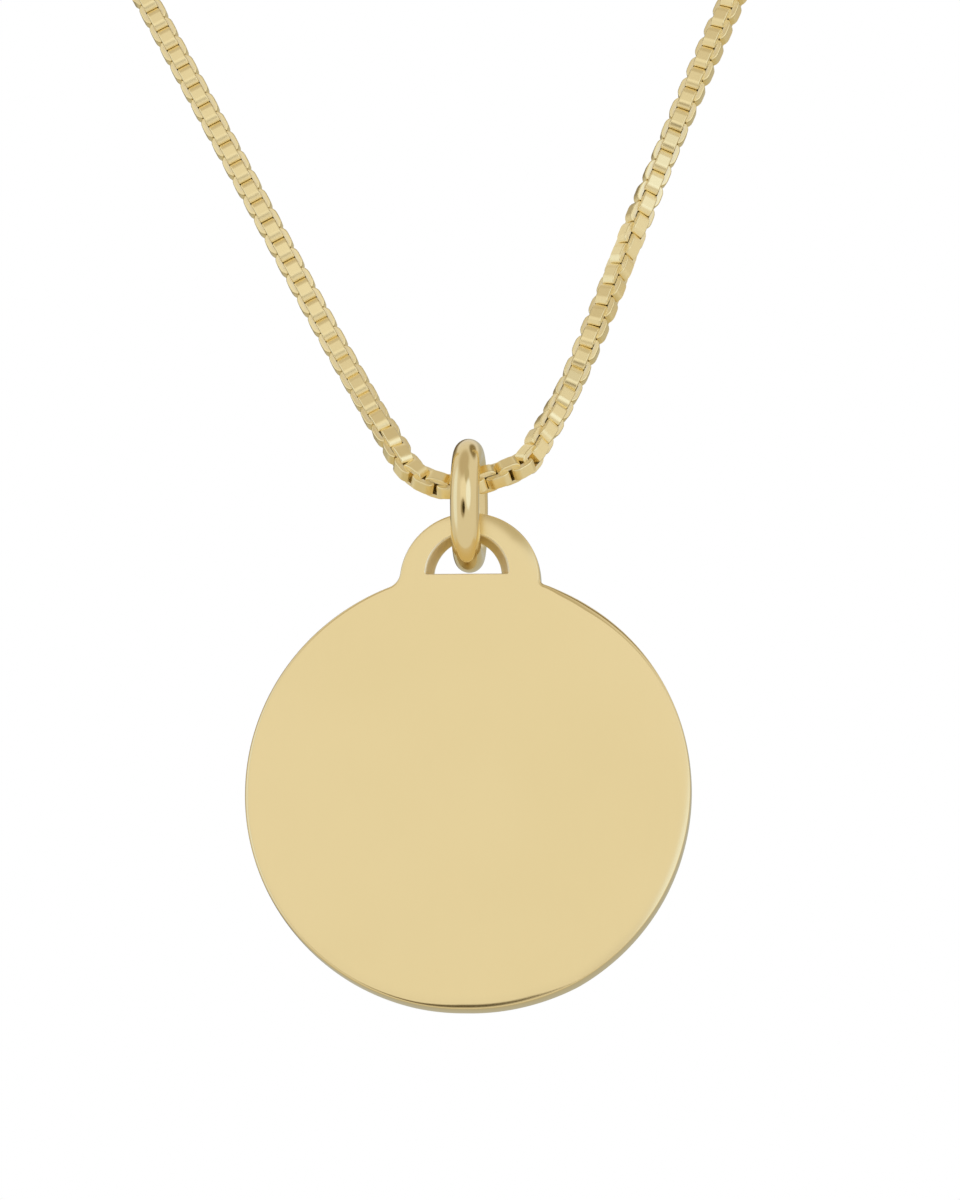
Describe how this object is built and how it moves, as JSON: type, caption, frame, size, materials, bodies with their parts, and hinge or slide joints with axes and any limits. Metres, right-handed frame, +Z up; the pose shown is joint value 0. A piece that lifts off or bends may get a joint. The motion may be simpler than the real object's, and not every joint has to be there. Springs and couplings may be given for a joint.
{
  "type": "disc pendant",
  "caption": "Plain round gold disc with a half-round eye, hung by a thick jump ring from a whole fine box chain with a plain barrel clasp.",
  "frame": {"origin": "middle of the clasp at the nape, where the necklace hangs on the neck", "axes": "+Z up; the disc's face looks along -Y, away from the wearer; +X to the right of someone who faces the disc"},
  "size_m": [0.1109, 0.1037, 0.1477],
  "materials": {
    "tag_gold": "mirror-polished yellow gold",
    "ring_gold": "polished yellow gold wire",
    "chain_gold": "bright yellow gold links",
    "clasp_gold": "polished yellow gold"
  },
  "bodies": {
    "chain": {"chain_left": "chain_gold", "chain_right": "chain_gold", "clasp": "clasp_gold"},
    "ring": {"jump_ring": "ring_gold"},
    "disc": {"disc_tag": "tag_gold"}
  },
  "joints": [
    {"name": "ring_swing", "type": "hinge", "parent": "chain", "child": "ring", "pos_m": [-0.0001, -0.1, -0.127], "axis": [1, 0, 0], "range_deg": [-90, 90]},
    {"name": "disc_swing", "type": "hinge", "parent": "ring", "child": "disc", "pos_m": [-0.0001, -0.1, -0.12973], "axis": [0, 1, 0], "range_deg": [-60, 60]}
  ]
}
